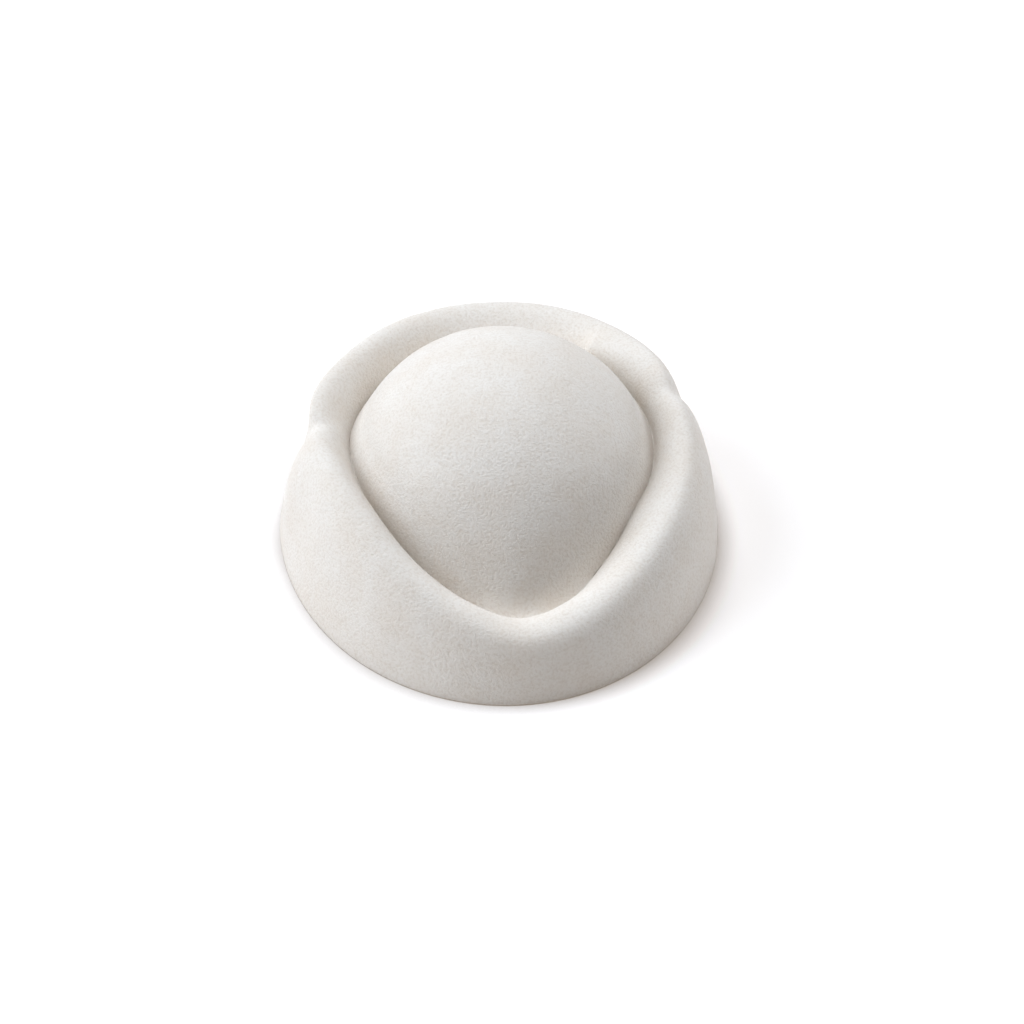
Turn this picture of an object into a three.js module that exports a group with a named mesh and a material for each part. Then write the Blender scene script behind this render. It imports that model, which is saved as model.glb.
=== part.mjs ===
// A wool felt hat blocked from one piece of felt, open below.
// From the oval base a wall rises to a soft rolled rim, which dips to a point at the front.
// Inside the rim the felt falls to a gutter and rises again as a round crown.
// Millimetres. The front faces -Y, +X is the right of someone facing the front, +Z is up.
// The origin is the middle of the base, on the surface that the hat stands on.

import * as THREE from 'three';

// Driving sizes

const FELT_THICKNESS = 2;
const FELT_COLOUR = 0xd9d3cb;
const FELT_ROUGHNESS = 0.95;
const BASE = { halfWidth: 86, halfLength: 101.8 };
const CROWN = { halfWidth: 60.4, halfFront: 66, halfBack: 60.7, top: 77.4, middle: 19.1, right: 1.8, back: 1.7 };

// The crown's round top starts this many degrees above its middle
const CROWN_SPRING = { side: 25, front: 43 };

// The wall's bend lies at this share of the rim's height, and has this share of the lean below it
const WALL_BEND = { height: 0.72, lean: 0.4 };

// How far the rim's roundness reaches outward and inward from its crest
const ROLL = { outSide: 6, outFront: 9.2, inward: 7.4 };

// The gutter is a tight crease under the rim. Its inner side is steep, and eases to a soft foot at the front.
const GUTTER = { softSide: 1.5, softFront: 4, riseOut: 65, riseIn: 78, narrowest: 5.5 };

// Cross-sections round the hat. turn is in degrees from the front toward +X.
// lean is how far the crest of the rim lies in from the base, and crest is its height.
// valley is the gutter's distance out from the crown, and floor is the gutter's height.
// bulge pushes the middle of the wall out.
const SECTIONS = [
  { turn: 0, lean: 15, crest: 25.2, valley: 12.5, floor: 18, bulge: 0 },
  { turn: 14, lean: 15.5, crest: 28.6, valley: 8.5, floor: 19, bulge: 1 },
  { turn: 30, lean: 15.5, crest: 35.3, valley: 2, floor: 24, bulge: 1.5 },
  { turn: 50, lean: 14.5, crest: 43, valley: -1, floor: 31.3, bulge: 2.5 },
  { turn: 72, lean: 14.5, crest: 47.5, valley: 0, floor: 34, bulge: 3.5 },
  { turn: 92, lean: 15.4, crest: 51, valley: 0.7, floor: 35.5, bulge: 2 },
  { turn: 112, lean: 15.9, crest: 51, valley: 1, floor: 37, bulge: -2 },
  { turn: 145, lean: 18.5, crest: 47, valley: 1, floor: 36, bulge: -1.5 },
  { turn: 180, lean: 25, crest: 47.5, valley: 1, floor: 36, bulge: -1.5 },
  { turn: 215, lean: 24.6, crest: 50.3, valley: 1, floor: 36, bulge: -2 },
  { turn: 246, lean: 17.5, crest: 51, valley: 1, floor: 36, bulge: -8 },
  { turn: 257, lean: 15.9, crest: 50.8, valley: 1, floor: 36.5, bulge: -13 },
  { turn: 270, lean: 17.4, crest: 50.3, valley: 1, floor: 37.5, bulge: 3 },
  { turn: 288, lean: 20.3, crest: 50, valley: 0.5, floor: 36, bulge: -1 },
  { turn: 310, lean: 22.5, crest: 45.2, valley: 0.4, floor: 31, bulge: -1.5 },
  { turn: 330, lean: 21, crest: 37.1, valley: 2.8, floor: 24, bulge: -1.5 },
  { turn: 346, lean: 18, crest: 29.8, valley: 8, floor: 19.3, bulge: -0.5 },
];

// Dents and folds. Each is deepest at its turn, and fades over so many degrees before and after it.
// base and crest pull the wall in at its foot and at the rim, and drop lowers the rim.
// ledge fills the slope inside the rim.
const DENTS = [
  { place: 'right tuck', turn: 101, before: 9, after: 9, base: 0, crest: 2.4, drop: 3, ledge: 0 },
  { place: 'left tuck', turn: 264, before: 5, after: 6, base: 0, crest: 3, drop: 2.2, ledge: 0 },
  { place: 'left side', turn: 250, before: 30, after: 16, base: 1, crest: 0, drop: 0, ledge: 0 },
  { place: 'back fold', turn: 138, before: 30, after: 4, base: 0, crest: 0, drop: 0, ledge: 6 },
];

// Facets round the hat, and along each stretch of a cross-section
const TURN_STEPS = 96;
const WALL_STEPS = 7;
const SLOPE_STEPS = 7;
const FLANK_STEPS = 5;
const DOME_STEPS = 7;

function radians(degrees) {
  return THREE.MathUtils.degToRad(degrees);
}

function ovalRadius(halfWidth, halfLength, turn) {
  const across = halfLength * Math.sin(radians(turn));
  const along = halfWidth * Math.cos(radians(turn));
  return (halfWidth * halfLength) / Math.hypot(across, along);
}

// A section row by its place in the table, going round past either end
function sectionAt(place) {
  const count = SECTIONS.length;
  const wrapped = THREE.MathUtils.euclideanModulo(place, count);
  const laps = Math.floor(place / count);
  return { ...SECTIONS[wrapped], turn: SECTIONS[wrapped].turn + 360 * laps };
}

function columnSlope(place, column) {
  const before = sectionAt(place - 1);
  const after = sectionAt(place + 1);
  return (after[column] - before[column]) / (after.turn - before.turn);
}

// A column of the table between its rows, as a smooth closed curve
function sectionValue(turn, column) {
  let place = SECTIONS.length - 1;
  while (SECTIONS[place].turn > turn) {
    place -= 1;
  }
  const from = sectionAt(place);
  const to = sectionAt(place + 1);
  const span = to.turn - from.turn;
  const t = (turn - from.turn) / span;
  const startPart = (2 * t ** 3 - 3 * t ** 2 + 1) * from[column];
  const startSlope = (t ** 3 - 2 * t ** 2 + t) * span * columnSlope(place, column);
  const endPart = (3 * t ** 2 - 2 * t ** 3) * to[column];
  const endSlope = (t ** 3 - t ** 2) * span * columnSlope(place + 1, column);
  return startPart + startSlope + endPart + endSlope;
}

// The sum of one column over all dents at a turn
function dentValue(turn, column) {
  let total = 0;
  for (const dent of DENTS) {
    const away = THREE.MathUtils.euclideanModulo(turn - dent.turn + 180, 360) - 180;
    const reach = away < 0 ? dent.before : dent.after;
    total += dent[column] / (1 + (away / reach) ** 2) ** 2;
  }
  return total;
}

function stretch(points, steps) {
  const [start, startHandle, endHandle, end] = points.map(([r, z]) => new THREE.Vector2(r, z));
  return new THREE.CubicBezierCurve(start, startHandle, endHandle, end).getPoints(steps).slice(0, -1);
}

// The outer skin's cross-section at a turn, from the base over the rim to just short of the crown's top
function crossSection(turn) {
  const ahead = Math.max(0, Math.cos(radians(turn)));
  const softness = ahead ** 5;
  const outward = THREE.MathUtils.lerp(ROLL.outSide, ROLL.outFront, ahead ** 3);

  const oval = ovalRadius(BASE.halfWidth, BASE.halfLength, turn);
  const baseRadius = oval - dentValue(turn, 'base');
  const crestRadius = oval - sectionValue(turn, 'lean') - dentValue(turn, 'crest');
  const crest = sectionValue(turn, 'crest') - dentValue(turn, 'drop');
  const lean = baseRadius - crestRadius;

  const crownLength = ahead > 0 ? CROWN.halfFront : CROWN.halfBack;
  const crownRadius = ovalRadius(CROWN.halfWidth, crownLength, turn);
  const crownHeight = CROWN.top - CROWN.middle;
  const crownShift = CROWN.right * Math.sin(radians(turn)) - CROWN.back * Math.cos(radians(turn));
  const floor = sectionValue(turn, 'floor');
  const floorAngle = Math.asin((floor - CROWN.middle) / crownHeight);
  const besideCrown = crownRadius * Math.cos(floorAngle) + crownShift + sectionValue(turn, 'valley');
  const gutterRadius = Math.min(besideCrown, crestRadius - GUTTER.narrowest);

  const wallBend = baseRadius - WALL_BEND.lean * lean + sectionValue(turn, 'bulge');
  const wall = stretch([
    [baseRadius, 0],
    [wallBend, WALL_BEND.height * crest],
    [crestRadius + outward, crest],
    [crestRadius, crest],
  ], WALL_STEPS);

  const gap = crestRadius - gutterRadius;
  const ledge = dentValue(turn, 'ledge');
  const slopeSoft = Math.min(GUTTER.softSide, 0.4 * gap);
  const slopeRise = radians(GUTTER.riseOut);
  const slope = stretch([
    [crestRadius, crest],
    [crestRadius - Math.min(ROLL.inward, 0.75 * gap) - ledge, crest],
    [gutterRadius + slopeSoft * Math.cos(slopeRise), floor + slopeSoft * Math.sin(slopeRise) + ledge],
    [gutterRadius, floor],
  ], SLOPE_STEPS);

  const spring = radians(THREE.MathUtils.lerp(CROWN_SPRING.side, CROWN_SPRING.front, ahead));
  const springRadius = crownRadius * Math.cos(spring) + crownShift;
  const springHeight = CROWN.middle + crownHeight * Math.sin(spring);
  const flankLength = Math.hypot(springRadius - gutterRadius, springHeight - floor);
  const fall = new THREE.Vector2(crownRadius * Math.sin(spring), -crownHeight * Math.cos(spring));
  fall.setLength(0.42 * flankLength);
  const soft = THREE.MathUtils.lerp(GUTTER.softSide, GUTTER.softFront, softness);
  const flankSoft = Math.min(soft, 0.35 * flankLength);
  const flankRise = radians(GUTTER.riseIn) * (1 - softness);
  const flank = stretch([
    [gutterRadius, floor],
    [gutterRadius - flankSoft * Math.cos(flankRise), floor + flankSoft * Math.sin(flankRise)],
    [springRadius + fall.x, springHeight + fall.y],
    [springRadius, springHeight],
  ], FLANK_STEPS);

  const rim = [...wall, ...slope, ...flank].map((point) => onTurn(turn, point.x, point.y));
  return [...rim, ...domeLine(turn, crownRadius, spring)];
}

function onTurn(turn, radius, height) {
  return new THREE.Vector3(radius * Math.sin(radians(turn)), -radius * Math.cos(radians(turn)), height);
}

// The crown's round top on one side, from its spring up to just short of the middle
function domeLine(turn, crownRadius, spring) {
  const points = [];
  for (let step = 0; step < DOME_STEPS; step += 1) {
    const rise = THREE.MathUtils.lerp(spring, Math.PI / 2, step / DOME_STEPS);
    const height = CROWN.middle + (CROWN.top - CROWN.middle) * Math.sin(rise);
    const point = onTurn(turn, crownRadius * Math.cos(rise), height);
    points.push(point.add(new THREE.Vector3(CROWN.right, CROWN.back, 0)));
  }
  return points;
}

// Points of the underside: the outer skin moved in by the felt's thickness, level with it at the base
function undersideOf(columns) {
  const lastRow = columns[0].length - 1;
  return columns.map((column, place) => {
    const before = columns[(place + TURN_STEPS - 1) % TURN_STEPS];
    const after = columns[(place + 1) % TURN_STEPS];
    return column.map((point, row) => {
      const round = after[row].clone().sub(before[row]);
      const along = column[Math.min(row + 1, lastRow)].clone().sub(column[Math.max(row - 1, 0)]);
      const outward = round.cross(along);
      if (row === 0) {
        outward.z = 0;
      }
      return point.clone().addScaledVector(outward.normalize(), -FELT_THICKNESS);
    });
  });
}

// The closed shell: outer skin, underside, the flat cut edge between them, and both skins' tops
function feltGeometry() {
  const outside = [];
  for (let step = 0; step < TURN_STEPS; step += 1) {
    outside.push(crossSection((360 * step) / TURN_STEPS));
  }
  const underside = undersideOf(outside);
  const rows = outside[0].length;
  const skinSize = TURN_STEPS * rows;
  const outsideTop = 2 * skinSize;
  const undersideTop = outsideTop + 1;
  const crownTop = new THREE.Vector3(CROWN.right, CROWN.back, CROWN.top);
  const crownInside = crownTop.clone().setZ(CROWN.top - FELT_THICKNESS);
  const points = [...outside.flat(), ...underside.flat(), crownTop, crownInside];

  const faces = [];
  for (let step = 0; step < TURN_STEPS; step += 1) {
    const here = step * rows;
    const next = ((step + 1) % TURN_STEPS) * rows;
    for (let row = 0; row < rows - 1; row += 1) {
      faces.push(here + row, next + row, next + row + 1);
      faces.push(here + row, next + row + 1, here + row + 1);
      faces.push(skinSize + here + row, skinSize + next + row + 1, skinSize + next + row);
      faces.push(skinSize + here + row, skinSize + here + row + 1, skinSize + next + row + 1);
    }
    faces.push(here + rows - 1, next + rows - 1, outsideTop);
    faces.push(skinSize + next + rows - 1, skinSize + here + rows - 1, undersideTop);
    faces.push(here, skinSize + here, skinSize + next);
    faces.push(here, skinSize + next, next);
  }

  const geometry = new THREE.BufferGeometry().setFromPoints(points);
  geometry.setIndex(faces);
  geometry.computeVertexNormals();
  return geometry;
}

const felt = new THREE.MeshStandardMaterial({
  color: FELT_COLOUR,
  roughness: FELT_ROUGHNESS,
  metalness: 0,
});

const feltBody = new THREE.Mesh(feltGeometry(), felt);
feltBody.name = 'felt_body';

const hat = new THREE.Group();
hat.add(feltBody);

export default hat;
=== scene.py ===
"""A cream felt hat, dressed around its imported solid.

The hat is one blocked felt shell: an oval wall, a soft rolled rim that dips at the front, a gutter and
a round crown. Its sizes are in millimetres and turn into metres as the mesh is made.
The front faces -Y and +Z is up.
"""

import logging
import math
from dataclasses import dataclass
from enum import Enum
from typing import Any, NamedTuple

import bpy
import numpy as np
from mathutils import Matrix, Vector, noise

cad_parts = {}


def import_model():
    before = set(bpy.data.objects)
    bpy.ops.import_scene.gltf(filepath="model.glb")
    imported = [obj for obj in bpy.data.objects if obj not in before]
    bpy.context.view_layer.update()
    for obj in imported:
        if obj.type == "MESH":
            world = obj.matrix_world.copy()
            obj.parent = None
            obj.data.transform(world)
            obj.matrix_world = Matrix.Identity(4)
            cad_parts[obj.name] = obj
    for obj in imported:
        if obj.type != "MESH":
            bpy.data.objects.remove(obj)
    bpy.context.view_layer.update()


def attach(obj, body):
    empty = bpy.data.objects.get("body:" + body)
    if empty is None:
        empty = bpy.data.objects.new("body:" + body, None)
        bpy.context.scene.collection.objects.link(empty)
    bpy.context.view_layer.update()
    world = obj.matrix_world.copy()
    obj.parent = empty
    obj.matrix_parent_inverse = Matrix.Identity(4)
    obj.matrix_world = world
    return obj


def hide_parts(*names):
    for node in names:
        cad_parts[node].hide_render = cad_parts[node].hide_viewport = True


LOG = logging.getLogger("felt_hat")
MM = 0.001
NODE = "felt_body"


def linear(hex_colour: str) -> tuple[float, float, float, float]:
    """Turn an sRGB hex colour into linear light.

    Args:
        hex_colour: Six hex digits, two each for red, green and blue.

    Returns:
        Linear red, green and blue, and full alpha.
    """
    channels = [int(hex_colour[place : place + 2], 16) / 255 for place in (0, 2, 4)]
    red, green, blue = [c / 12.92 if c <= 0.04045 else ((c + 0.055) / 1.055) ** 2.4 for c in channels]
    return red, green, blue, 1.0


def add_node(
    tree: bpy.types.NodeTree,
    kind: str,
    settings: dict[str, Any] | None = None,
    links: dict[str, bpy.types.NodeSocket] | None = None,
) -> bpy.types.Node:
    """Add a shader node with its settings and its incoming links.

    Args:
        tree: The node tree that takes the node.
        kind: The node's Blender type name.
        settings: Input socket values by name, or else properties of the node.
        links: Output sockets of other nodes, by the input socket that they feed.

    Returns:
        The new node.
    """
    node = tree.nodes.new(kind)
    for name, value in (settings or {}).items():
        if name in node.inputs:
            node.inputs[name].default_value = value
        else:
            setattr(node, name, value)
    for name, source in (links or {}).items():
        tree.links.new(source, node.inputs[name])
    return node


class Section(NamedTuple):
    """A cross-section of the hat at one turn from the front, in degrees and millimetres.

    lean is how far the rim's crest lies in from the base, and crest is its height. valley is the gutter's
    distance out from the crown, and floor is its height. bulge pushes the middle of the wall out.
    """

    turn: float
    lean: float
    crest: float
    valley: float
    floor: float
    bulge: float


class Dent(NamedTuple):
    """A dent or fold, deepest at its turn and fading over so many degrees before and after it.

    base and crest pull the wall in at its foot and at the rim, drop lowers the rim, and ledge fills the
    slope inside the rim.
    """

    place: str
    turn: float
    before: float
    after: float
    base: float
    crest: float
    drop: float
    ledge: float


SECTIONS = (
    Section(turn=0, lean=15, crest=25.2, valley=12.5, floor=18, bulge=0),
    Section(turn=14, lean=15.5, crest=28.6, valley=8.5, floor=19, bulge=1),
    Section(turn=30, lean=15.5, crest=35.3, valley=2, floor=24, bulge=1.5),
    Section(turn=50, lean=14.5, crest=43, valley=-1, floor=31.3, bulge=2.5),
    Section(turn=72, lean=14.5, crest=47.5, valley=0, floor=34, bulge=3.5),
    Section(turn=92, lean=15.4, crest=51, valley=0.7, floor=35.5, bulge=2),
    Section(turn=112, lean=15.9, crest=51, valley=1, floor=37, bulge=-2),
    Section(turn=145, lean=18.5, crest=47, valley=1, floor=36, bulge=-1.5),
    Section(turn=180, lean=25, crest=47.5, valley=1, floor=36, bulge=-1.5),
    Section(turn=215, lean=24.6, crest=50.3, valley=1, floor=36, bulge=-2),
    Section(turn=246, lean=17.5, crest=51, valley=1, floor=36, bulge=-8),
    Section(turn=257, lean=15.9, crest=50.8, valley=1, floor=36.5, bulge=-13),
    Section(turn=270, lean=17.4, crest=50.3, valley=1, floor=37.5, bulge=3),
    Section(turn=288, lean=20.3, crest=50, valley=0.5, floor=36, bulge=-1),
    Section(turn=310, lean=22.5, crest=45.2, valley=0.4, floor=31, bulge=-1.5),
    Section(turn=330, lean=21, crest=37.1, valley=2.8, floor=24, bulge=-1.5),
    Section(turn=346, lean=18, crest=29.8, valley=8, floor=19.3, bulge=-0.5),
)

DENTS = (
    Dent("right tuck", turn=101, before=9, after=9, base=0, crest=2.4, drop=3, ledge=0),
    Dent("left tuck", turn=264, before=5, after=6, base=0, crest=3, drop=2.2, ledge=0),
    Dent("left side", turn=250, before=30, after=16, base=1, crest=0, drop=0, ledge=0),
    Dent("back fold", turn=138, before=30, after=4, base=0, crest=0, drop=0, ledge=6),
)


class Unevenness(Enum):
    """The unevenness of hand-blocked felt: how wide its lumps are and how far they stand out, in mm."""

    SWELLS = (30.0, 0.3)
    LUMPS = (8.0, 0.1)
    PILLS = (3.2, 0.04)

    @property
    def width(self) -> float:
        """The lumps' width in millimetres."""
        return self.value[0]

    @property
    def height(self) -> float:
        """How far the lumps stand out, in millimetres."""
        return self.value[1]


@dataclass(frozen=True)
class FulledWoolFelt:
    """Wool felt, fulled and blocked over a wooden form, then brushed.

    Its matted fibres scatter nearly all light, so it is matt from every side, with a faint bloom where the
    nap is seen edge on. Close to, the nap is a fine soft grain of bumps with painted shade in their hollows,
    and the undyed wool is a little clouded.
    """

    name: str = "fulled_wool_felt"
    wool: str = "E7E1D9"
    wool_deep: str = "E4DCD2"
    nap_shadow: str = "E9E2DA"
    roughness: float = 0.95
    ior: float = 1.54
    specular: float = 0.25
    sheen: float = 0.12
    sheen_roughness: float = 0.5
    cloud_mm: float = 16.0
    curl_mm: float = 1.0
    fibre_mm: float = 0.6
    curl_height_mm: float = 0.32
    fibre_height_mm: float = 0.15
    pattern_roughness: float = 0.55
    cloud_ends: tuple[float, float] = (0.35, 0.65)
    nap_ends: tuple[float, float] = (0.3, 0.55)
    nap_shade_mix: float = 0.5
    bump_strength: float = 0.8

    def material(self) -> bpy.types.Material:
        """Make the felt's material.

        Returns:
            The material, with its colour, nap and bloom.
        """
        material = bpy.data.materials.new(self.name)
        material.use_nodes = True
        tree = material.node_tree
        tree.nodes.clear()
        place = add_node(tree, "ShaderNodeTexCoord").outputs["Object"]
        cloud = self.pattern(tree, place, self.cloud_mm, detail=3.0, distortion=0.4)
        curl = self.pattern(tree, place, self.curl_mm, detail=2.0, distortion=0.0)
        # Single wool fibres are 0.02 mm thick. They are drawn as tufts this wide, the finest that shows.
        fibre = self.pattern(tree, place, self.fibre_mm, detail=2.0, distortion=0.6)
        clouded = self.tinted(tree, cloud, self.cloud_ends, (self.wool_deep, self.wool))
        # Painted shade: where the curl that raises the nap's bumps is low, in their hollows, the colour is
        # darkened toward nap_shadow.
        shadow = self.tinted(tree, curl, self.nap_ends, (self.nap_shadow, "FFFFFF"))
        colour = add_node(
            tree,
            "ShaderNodeMixRGB",
            {"blend_type": "MULTIPLY", "Fac": self.nap_shade_mix},
            {"Color1": clouded, "Color2": shadow},
        )
        tufts = add_node(
            tree,
            "ShaderNodeBump",
            {"Strength": self.bump_strength, "Distance": self.fibre_height_mm * MM},
            {"Height": fibre},
        )
        nap = add_node(
            tree,
            "ShaderNodeBump",
            {"Strength": self.bump_strength, "Distance": self.curl_height_mm * MM},
            {"Height": curl, "Normal": tufts.outputs["Normal"]},
        )
        shader = add_node(
            tree,
            "ShaderNodeBsdfPrincipled",
            {
                "Roughness": self.roughness,
                "IOR": self.ior,
                "Specular IOR Level": self.specular,
                "Sheen Weight": self.sheen,
                "Sheen Roughness": self.sheen_roughness,
            },
            {"Base Color": colour.outputs["Color"], "Normal": nap.outputs["Normal"]},
        )
        add_node(tree, "ShaderNodeOutputMaterial", links={"Surface": shader.outputs["BSDF"]})
        return material

    def pattern(
        self,
        tree: bpy.types.NodeTree,
        place: bpy.types.NodeSocket,
        width_mm: float,
        detail: float,
        distortion: float,
    ) -> bpy.types.NodeSocket:
        """Add a cloudy pattern of a real width.

        Args:
            tree: The material's node tree.
            place: Where on the felt the pattern is read, in metres.
            width_mm: The pattern's width in millimetres.
            detail: How many finer layers lie in it.
            distortion: How far it curls.

        Returns:
            The pattern's strength, from 0 to 1.
        """
        scale = 1 / (width_mm * MM)
        settings = {
            "Scale": scale,
            "Detail": detail,
            "Roughness": self.pattern_roughness,
            "Distortion": distortion,
        }
        return add_node(tree, "ShaderNodeTexNoise", settings, {"Vector": place}).outputs["Fac"]

    def tinted(
        self,
        tree: bpy.types.NodeTree,
        strength: bpy.types.NodeSocket,
        ends: tuple[float, float],
        colours: tuple[str, str],
    ) -> bpy.types.NodeSocket:
        """Turn a pattern's strength into colours.

        Args:
            tree: The material's node tree.
            strength: The pattern, from 0 to 1.
            ends: The strength up to which the first colour holds, and from which the second holds.
            colours: Both colours as sRGB hex.

        Returns:
            The colour.
        """
        ramp = add_node(tree, "ShaderNodeValToRGB", links={"Fac": strength})
        for stop, position, colour in zip(ramp.color_ramp.elements, ends, colours):
            stop.position = position
            stop.color = linear(colour)
        return ramp.outputs["Color"]


@dataclass
class FeltHat:
    """The hat's one piece: a blocked felt shell, open below. Sizes are in millimetres, angles in degrees."""

    felt: FulledWoolFelt
    sections: tuple[Section, ...] = SECTIONS
    dents: tuple[Dent, ...] = DENTS
    thickness: float = 2.0
    edge_round: float = 0.6
    base_half_width: float = 86.0
    base_half_length: float = 101.8
    crown_half_width: float = 60.4
    crown_half_back: float = 60.7
    crown_half_front: float = 66.0
    crown_top: float = 77.4
    crown_middle: float = 19.1
    crown_right: float = 1.8
    crown_back: float = 1.7
    crown_spring_side: float = 25.0
    crown_spring_front: float = 43.0
    wall_bend_height: float = 0.72
    wall_bend_lean: float = 0.4
    roll_out_side: float = 6.0
    roll_out_front: float = 9.2
    roll_inward: float = 7.4
    gutter_soft_side: float = 1.5
    gutter_soft_front: float = 4.0
    gutter_rise_out: float = 65.0
    gutter_rise_in: float = 78.0
    gutter_narrowest: float = 5.5
    gutter_front_power: int = 5
    roll_front_power: int = 3
    roll_share: float = 0.75
    slope_share: float = 0.4
    flank_share: float = 0.35
    fall_share: float = 0.42
    fade_thicknesses: float = 4.0
    turn_steps: int = 300
    edge_steps: int = 4
    wall_steps: int = 40
    slope_steps: int = 36
    flank_steps: int = 20
    dome_steps: int = 40
    crease_rows: int = 4

    def column(self, name: str, turns: np.ndarray) -> np.ndarray:
        """Read one column of the sections between its rows, as a smooth closed curve.

        Args:
            name: The column's name.
            turns: Turns from the front, from 0 up to 360 degrees.

        Returns:
            The column's value at each turn.
        """
        at = np.array([section.turn for section in self.sections], float)
        value = np.array([getattr(section, name) for section in self.sections], float)
        at = np.concatenate([at[-2:] - 360, at, at[:3] + 360])
        value = np.concatenate([value[-2:], value, value[:3]])
        slope = np.gradient(value)
        slope[1:-1] = (value[2:] - value[:-2]) / (at[2:] - at[:-2])
        place = np.searchsorted(at, turns, side="right") - 1
        span = at[place + 1] - at[place]
        t = (turns - at[place]) / span
        start = (2 * t**3 - 3 * t**2 + 1) * value[place] + (t**3 - 2 * t**2 + t) * span * slope[place]
        end = (3 * t**2 - 2 * t**3) * value[place + 1] + (t**3 - t**2) * span * slope[place + 1]
        return start + end

    def dented(self, name: str, turns: np.ndarray) -> np.ndarray:
        """Add up one column of the dents.

        Args:
            name: The column's name.
            turns: Turns from the front, in degrees.

        Returns:
            The sum at each turn.
        """
        total = np.zeros_like(turns)
        for dent in self.dents:
            away = np.mod(turns - dent.turn + 180, 360) - 180
            reach = np.where(away < 0, dent.before, dent.after)
            total += getattr(dent, name) / (1 + (away / reach) ** 2) ** 2
        return total

    def stretch(self, points: list[tuple[Any, Any]], steps: int) -> tuple[np.ndarray, np.ndarray]:
        """Draw one stretch of every cross-section as a cubic curve.

        Args:
            points: Radius and height of the start, its handle, the end's handle and the end.
            steps: How many points to make, with the end left out.

        Returns:
            Radii and heights, a row for each turn.
        """
        t = np.linspace(0, 1, steps, endpoint=False)
        weights = np.stack([(1 - t) ** 3, 3 * t * (1 - t) ** 2, 3 * t**2 * (1 - t), t**3])
        radii = np.stack(np.broadcast_arrays(*[radius for radius, _ in points]), axis=-1)
        heights = np.stack(np.broadcast_arrays(*[height for _, height in points]), axis=-1)
        return radii @ weights, heights @ weights

    def oval(self, half_width: float, half_length: float | np.ndarray, turns: np.ndarray) -> np.ndarray:
        """Give an oval's radius at each turn.

        Args:
            half_width: Half the oval's width.
            half_length: Half the oval's length, one for all or one for each turn.
            turns: Turns from the front, in degrees.

        Returns:
            The radius at each turn.
        """
        across = half_length * np.sin(np.radians(turns))
        along = half_width * np.cos(np.radians(turns))
        return half_width * half_length / np.hypot(across, along)

    def outside(self) -> np.ndarray:
        """Make the outer skin's points, from the foot of the wall over the rim to just short of the top.

        Returns:
            Points as an array of turns, rows and coordinates.
        """
        turns = np.arange(self.turn_steps) * 360 / self.turn_steps
        side = np.sin(np.radians(turns))
        ahead = np.maximum(0, np.cos(np.radians(turns)))
        softness = ahead**self.gutter_front_power
        soft = self.gutter_soft_side + (self.gutter_soft_front - self.gutter_soft_side) * softness
        roll_gain = self.roll_out_front - self.roll_out_side
        outward = self.roll_out_side + roll_gain * ahead**self.roll_front_power

        oval = self.oval(self.base_half_width, self.base_half_length, turns)
        base = oval - self.dented("base", turns)
        crest_radius = oval - self.column("lean", turns) - self.dented("crest", turns)
        crest = self.column("crest", turns) - self.dented("drop", turns)
        bend = base - self.wall_bend_lean * (base - crest_radius) + self.column("bulge", turns)
        wall = self.stretch(
            [
                (base, self.edge_round),
                (bend, self.wall_bend_height * crest),
                (crest_radius + outward, crest),
                (crest_radius, crest),
            ],
            self.wall_steps,
        )

        crown_length = np.where(ahead > 0, self.crown_half_front, self.crown_half_back)
        crown = self.oval(self.crown_half_width, crown_length, turns)
        crown_height = self.crown_top - self.crown_middle
        shift = self.crown_right * side - self.crown_back * np.cos(np.radians(turns))
        floor = self.column("floor", turns)
        beside = crown * np.cos(np.arcsin((floor - self.crown_middle) / crown_height)) + shift
        gutter = np.minimum(beside + self.column("valley", turns), crest_radius - self.gutter_narrowest)
        gap = crest_radius - gutter
        ledge = self.dented("ledge", turns)
        slope_soft = np.minimum(self.gutter_soft_side, self.slope_share * gap)
        slope_rise = math.radians(self.gutter_rise_out)
        slope = self.stretch(
            [
                (crest_radius, crest),
                (crest_radius - np.minimum(self.roll_inward, self.roll_share * gap) - ledge, crest),
                (gutter + slope_soft * np.cos(slope_rise), floor + slope_soft * np.sin(slope_rise) + ledge),
                (gutter, floor),
            ],
            self.slope_steps,
        )

        spring_lift = self.crown_spring_front - self.crown_spring_side
        spring = np.radians(self.crown_spring_side + spring_lift * ahead)
        spring_radius = crown * np.cos(spring) + shift
        spring_height = self.crown_middle + crown_height * np.sin(spring)
        length = np.hypot(spring_radius - gutter, spring_height - floor)
        fall_out, fall_down = crown * np.sin(spring), crown_height * np.cos(spring)
        fall = self.fall_share * length / np.hypot(fall_out, fall_down)
        flank_soft = np.minimum(soft, self.flank_share * length)
        flank_rise = math.radians(self.gutter_rise_in) * (1 - softness)
        flank = self.stretch(
            [
                (gutter, floor),
                (gutter - flank_soft * np.cos(flank_rise), floor + flank_soft * np.sin(flank_rise)),
                (spring_radius + fall_out * fall, spring_height - fall_down * fall),
                (spring_radius, spring_height),
            ],
            self.flank_steps,
        )

        below = [self.on_turns(turns, *part) for part in (wall, slope, flank)]
        return np.concatenate([*below, self.dome(turns, crown, spring)], axis=1)

    def on_turns(self, turns: np.ndarray, radii: np.ndarray, heights: np.ndarray) -> np.ndarray:
        """Place radii and heights on their turns.

        Args:
            turns: Turns from the front, in degrees.
            radii: Radii, a row for each turn.
            heights: Heights, a row for each turn.

        Returns:
            Points as an array of turns, rows and coordinates.
        """
        angle = np.radians(turns)[:, None]
        return np.stack([radii * np.sin(angle), -radii * np.cos(angle), heights], axis=-1)

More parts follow.
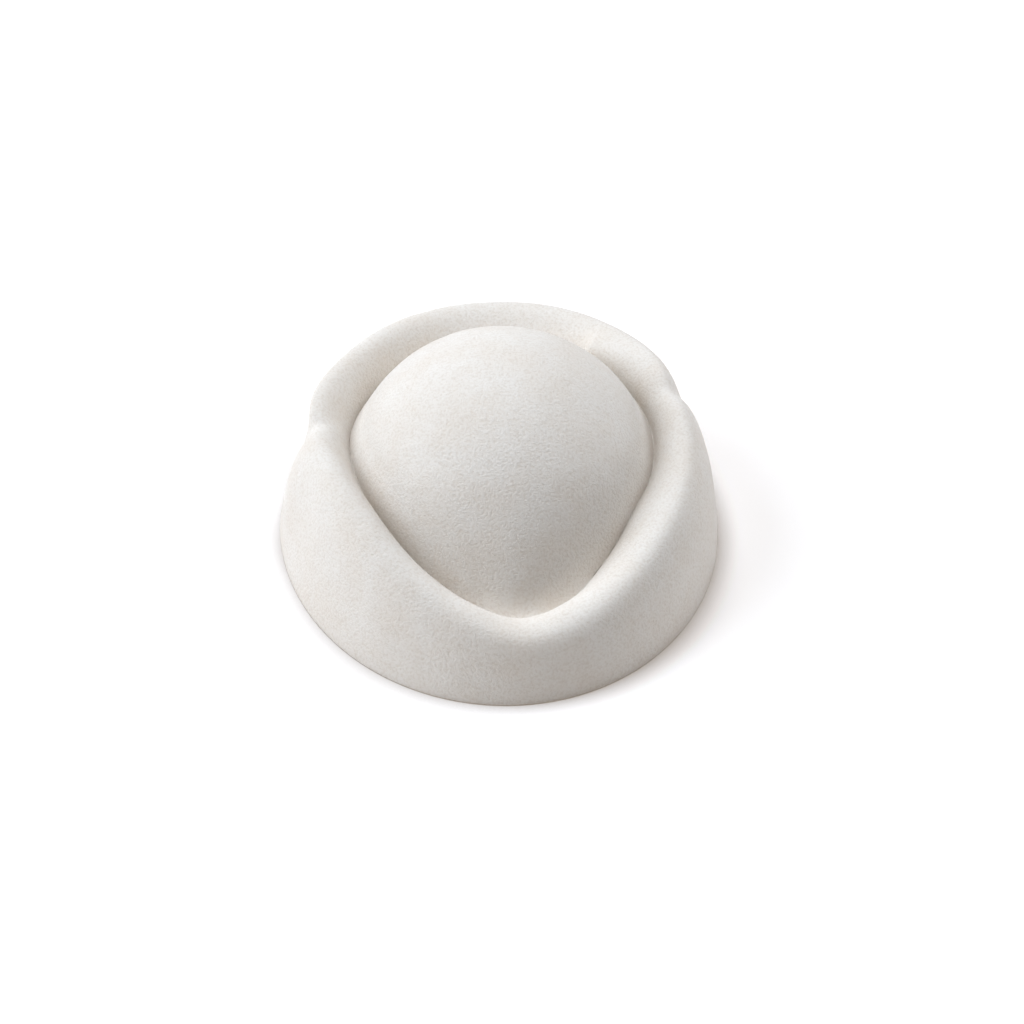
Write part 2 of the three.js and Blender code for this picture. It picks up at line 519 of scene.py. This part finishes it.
    def dome(self, turns: np.ndarray, crown: np.ndarray, spring: np.ndarray) -> np.ndarray:
        """Make the crown's round top, from its spring to just short of the middle.

        Args:
            turns: Turns from the front, in degrees.
            crown: The crown's radius at each turn.
            spring: The angle above the crown's middle where its round top starts, in radians.

        Returns:
            Points as an array of turns, rows and coordinates.
        """
        rise = np.linspace(spring, math.pi / 2, self.dome_steps, endpoint=False, axis=-1)
        heights = self.crown_middle + (self.crown_top - self.crown_middle) * np.sin(rise)
        points = self.on_turns(turns, crown[:, None] * np.cos(rise), heights)
        return points + np.array([self.crown_right, self.crown_back, 0])

    def outward(self, skin: np.ndarray) -> np.ndarray:
        """Give the outward direction at every point of a skin.

        Args:
            skin: Points as an array of turns, rows and coordinates.

        Returns:
            Directions of length one, in the same order.
        """
        around = np.roll(skin, -1, axis=0) - np.roll(skin, 1, axis=0)
        direction = np.cross(around, np.gradient(skin, axis=1))
        return direction / np.linalg.norm(direction, axis=-1, keepdims=True)

    def blocked(self, skin: np.ndarray) -> np.ndarray:
        """Give a skin the unevenness of hand-blocked felt, which fades out at the cut edge.

        Args:
            skin: Smooth points as an array of turns, rows and coordinates.

        Returns:
            Uneven points in the same order.
        """
        height = np.zeros(skin.shape[:2])
        for kind in Unevenness:
            flat = (noise.noise(Vector(point / kind.width)) for point in skin.reshape(-1, 3))
            height += kind.height * np.fromiter(flat, float).reshape(height.shape)
        fade = np.clip((skin[..., 2] - self.edge_round) / (self.fade_thicknesses * self.thickness), 0, 1)
        return skin + self.outward(skin) * (height * fade)[..., None]

    def underside(self, skin: np.ndarray) -> np.ndarray:
        """Move the outer skin in by the felt's thickness, rounded under the crease and level at its foot.

        Args:
            skin: The outer skin's points.

        Returns:
            The underside's points in the same order.
        """
        reach = self.crease_rows
        beside = np.pad(self.outward(skin), ((0, 0), (reach, reach), (0, 0)), mode="edge")
        outward = sum(beside[:, step : step + skin.shape[1]] for step in range(2 * reach + 1))
        outward[:, 0, 2] = 0
        outward /= np.linalg.norm(outward, axis=-1, keepdims=True)
        return skin - outward * self.thickness

    def cut_edge(self, foot: np.ndarray, inward: float) -> np.ndarray:
        """Round the cut edge below one skin.

        Args:
            foot: The skin's lowest points, a round apart from the surface that the hat stands on.
            inward: 1 where the edge turns toward the middle of the hat, and -1 where it turns away.

        Returns:
            Points from the flat of the edge up to the skin, as an array of turns, rows and coordinates.
        """
        angle = np.linspace(0, math.pi / 2, self.edge_steps, endpoint=False)
        radial = foot[:, :2] / np.linalg.norm(foot[:, :2], axis=-1, keepdims=True)
        turn_in = -inward * self.edge_round * (1 - np.sin(angle))
        level = foot[:, None, :2] + radial[:, None] * turn_in[None, :, None]
        height = np.broadcast_to(self.edge_round * (1 - np.cos(angle)), level.shape[:2])
        return np.concatenate([level, height[..., None]], axis=-1)

    def faces(self, rows: int) -> list[tuple[int, ...]]:
        """List the faces of both skins, the cut edge between them and their tops.

        Args:
            rows: How many rows each skin has.

        Returns:
            Faces as point numbers, outer skin first.
        """
        count = self.turn_steps
        size = count * rows
        listed = []
        for step in range(count):
            here, after = step * rows, (step + 1) % count * rows
            for row in range(rows - 1):
                a, b, c, d = here + row, after + row, after + row + 1, here + row + 1
                listed.append((a, b, c, d))
                listed.append((size + a, size + d, size + c, size + b))
            listed.append((here + rows - 1, after + rows - 1, 2 * size))
            listed.append((size + after + rows - 1, size + here + rows - 1, 2 * size + 1))
            listed.append((here, size + here, size + after, after))
        return listed

    def build(self) -> bpy.types.Object:
        """Make the felt shell's mesh.

        Returns:
            The hat's object, in the scene.
        """
        skin = self.blocked(self.outside())
        under = self.underside(skin)
        skin = np.concatenate([self.cut_edge(skin[:, 0], 1), skin], axis=1)
        under = np.concatenate([self.cut_edge(under[:, 0], -1), under], axis=1)
        top = skin[:, -1].mean(axis=0)
        top[2] = self.crown_top
        tops = np.stack([top, top - [0, 0, self.thickness]])
        points = np.concatenate([skin.reshape(-1, 3), under.reshape(-1, 3), tops]) * MM
        mesh = bpy.data.meshes.new(NODE)
        mesh.from_pydata(points.tolist(), [], self.faces(skin.shape[1]))
        mesh.polygons.foreach_set("use_smooth", [True] * len(mesh.polygons))
        mesh.validate()
        piece = bpy.data.objects.new("felt_shell", mesh)
        bpy.context.scene.collection.objects.link(piece)
        return piece

    def dress(self, piece: bpy.types.Object) -> None:
        """Give the shell its felt, and let it stand for the hat's solid.

        Args:
            piece: The felt shell.
        """
        piece.data.materials.append(self.felt.material())
        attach(piece, "root")
        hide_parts(NODE)


@dataclass(frozen=True)
class OpalAcrylic:
    """A sheet of white opal acrylic, matt and lit from below, as on a product photographer's table.

    It stays near white all over. Close to the hat it is shaded, so that the thin shadow at the foot of the
    wall isn't lost in the sheet's own light.
    """

    name: str = "lit_opal_acrylic"
    colour: str = "F3F3F3"
    roughness: float = 1.0
    glow: float = 0.19
    glow_colour: str = "FFE4C8"
    shade_mm: float = 10.0
    shade_rays: int = 4

    def material(self) -> bpy.types.Material:
        """Make the sheet's material.

        Returns:
            The material.
        """
        material = bpy.data.materials.new(self.name)
        material.use_nodes = True
        tree = material.node_tree
        tree.nodes.clear()
        shade = add_node(
            tree,
            "ShaderNodeAmbientOcclusion",
            {"Color": linear(self.colour), "Distance": self.shade_mm * MM, "samples": self.shade_rays},
        )
        settings = {
            "Roughness": self.roughness,
            "Specular IOR Level": 0.0,
            "Emission Color": linear(self.glow_colour),
            "Emission Strength": self.glow,
        }
        links = {"Base Color": shade.outputs["Color"]}
        shader = add_node(tree, "ShaderNodeBsdfPrincipled", settings, links)
        add_node(tree, "ShaderNodeOutputMaterial", links={"Surface": shader.outputs["BSDF"]})
        return material


class SoftLight(NamedTuple):
    """A round studio light aimed at the hat.

    Its place and width are in metres, its power is in watts and its colour is sRGB hex.
    """

    name: str
    place: tuple[float, float, float]
    width: float
    power: float
    colour: str


@dataclass
class Studio:
    """The floor, the lights and the camera. Lengths are in metres, angles in degrees."""

    table: OpalAcrylic
    floor_half: float = 3.0
    lights: tuple[SoftLight, ...] = (
        SoftLight("left_light", (-2.82, 0.3, 2.06), 3.2, 111.0, "EDF5FF"),
        SoftLight("right_light", (2.77, 0.74, 2.0), 2.8, 55.0, "EDF5FF"),
        SoftLight("top_light", (-0.2, 1.15, 3.3), 2.2, 76.0, "F1F7FF"),
    )
    room_colour: str = "FFE8D0"
    room_strength: float = 0.06
    lit_point: tuple[float, float, float] = (0.0, 0.0, 0.03)
    azimuth: float = -6.5
    elevation: float = 42.0
    distance: float = 0.9
    lens: float = 80.05
    sensor: float = 36.0
    aim_right: float = 0.0056
    aim_up: float = 0.00225

    def lay_floor(self) -> bpy.types.Object:
        """Lay the floor that the hat stands on.

        Returns:
            The floor's object.
        """
        half = self.floor_half
        corners = [(-half, -half, 0), (half, -half, 0), (half, half, 0), (-half, half, 0)]
        mesh = bpy.data.meshes.new("floor")
        mesh.from_pydata(corners, [], [(0, 1, 2, 3)])
        mesh.materials.append(self.table.material())
        floor = bpy.data.objects.new("floor", mesh)
        bpy.context.scene.collection.objects.link(floor)
        return floor

    def hang_lights(self) -> None:
        """Hang the soft lights and light the room."""
        for light in self.lights:
            lamp = bpy.data.lights.new(light.name, "AREA")
            lamp.shape = "DISK"
            lamp.size = light.width
            lamp.energy = light.power
            lamp.color = linear(light.colour)[:3]
            hung = bpy.data.objects.new(light.name, lamp)
            hung.location = light.place
            toward = Vector(self.lit_point) - Vector(light.place)
            hung.rotation_euler = toward.to_track_quat("-Z", "Y").to_euler()
            bpy.context.scene.collection.objects.link(hung)
        room = bpy.data.worlds.new("room")
        room.use_nodes = True
        background = room.node_tree.nodes["Background"]
        background.inputs["Color"].default_value = linear(self.room_colour)
        background.inputs["Strength"].default_value = self.room_strength
        bpy.context.scene.world = room

    def set_camera(self) -> bpy.types.Object:
        """Set the camera up at the photograph's angle, with plain tones that leave the white table white.

        Returns:
            The camera's object.
        """
        bpy.context.scene.view_settings.view_transform = "Standard"
        turn, rise = math.radians(self.azimuth), math.radians(self.elevation)
        back = Vector((math.sin(turn) * math.cos(rise), -math.cos(turn) * math.cos(rise), math.sin(rise)))
        right = Vector((math.cos(turn), math.sin(turn), 0))
        up = back.cross(right)
        data = bpy.data.cameras.new("camera")
        data.lens = self.lens
        data.sensor_width = self.sensor
        camera = bpy.data.objects.new("camera", data)
        camera.location = back * self.distance + right * self.aim_right + up * self.aim_up
        camera.rotation_euler = Matrix((right, up, back)).transposed().to_euler()
        bpy.context.scene.collection.objects.link(camera)
        bpy.context.scene.camera = camera
        return camera


def main() -> None:
    """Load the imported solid, dress the hat and set up the studio around it."""
    logging.basicConfig(level=logging.INFO, format="%(name)s: %(message)s")
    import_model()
    hat = FeltHat(felt=FulledWoolFelt())
    shell = hat.build()
    hat.dress(shell)
    LOG.info("%s: %d faces of felt", shell.name, len(shell.data.polygons))
    studio = Studio(table=OpalAcrylic())
    floor = studio.lay_floor()
    LOG.info("%s: %.1f m wide", floor.name, 2 * studio.floor_half)
    studio.hang_lights()
    camera = studio.set_camera()
    LOG.info("%s: %.0f mm lens", camera.name, camera.data.lens)


if __name__ == "__main__":
    main()
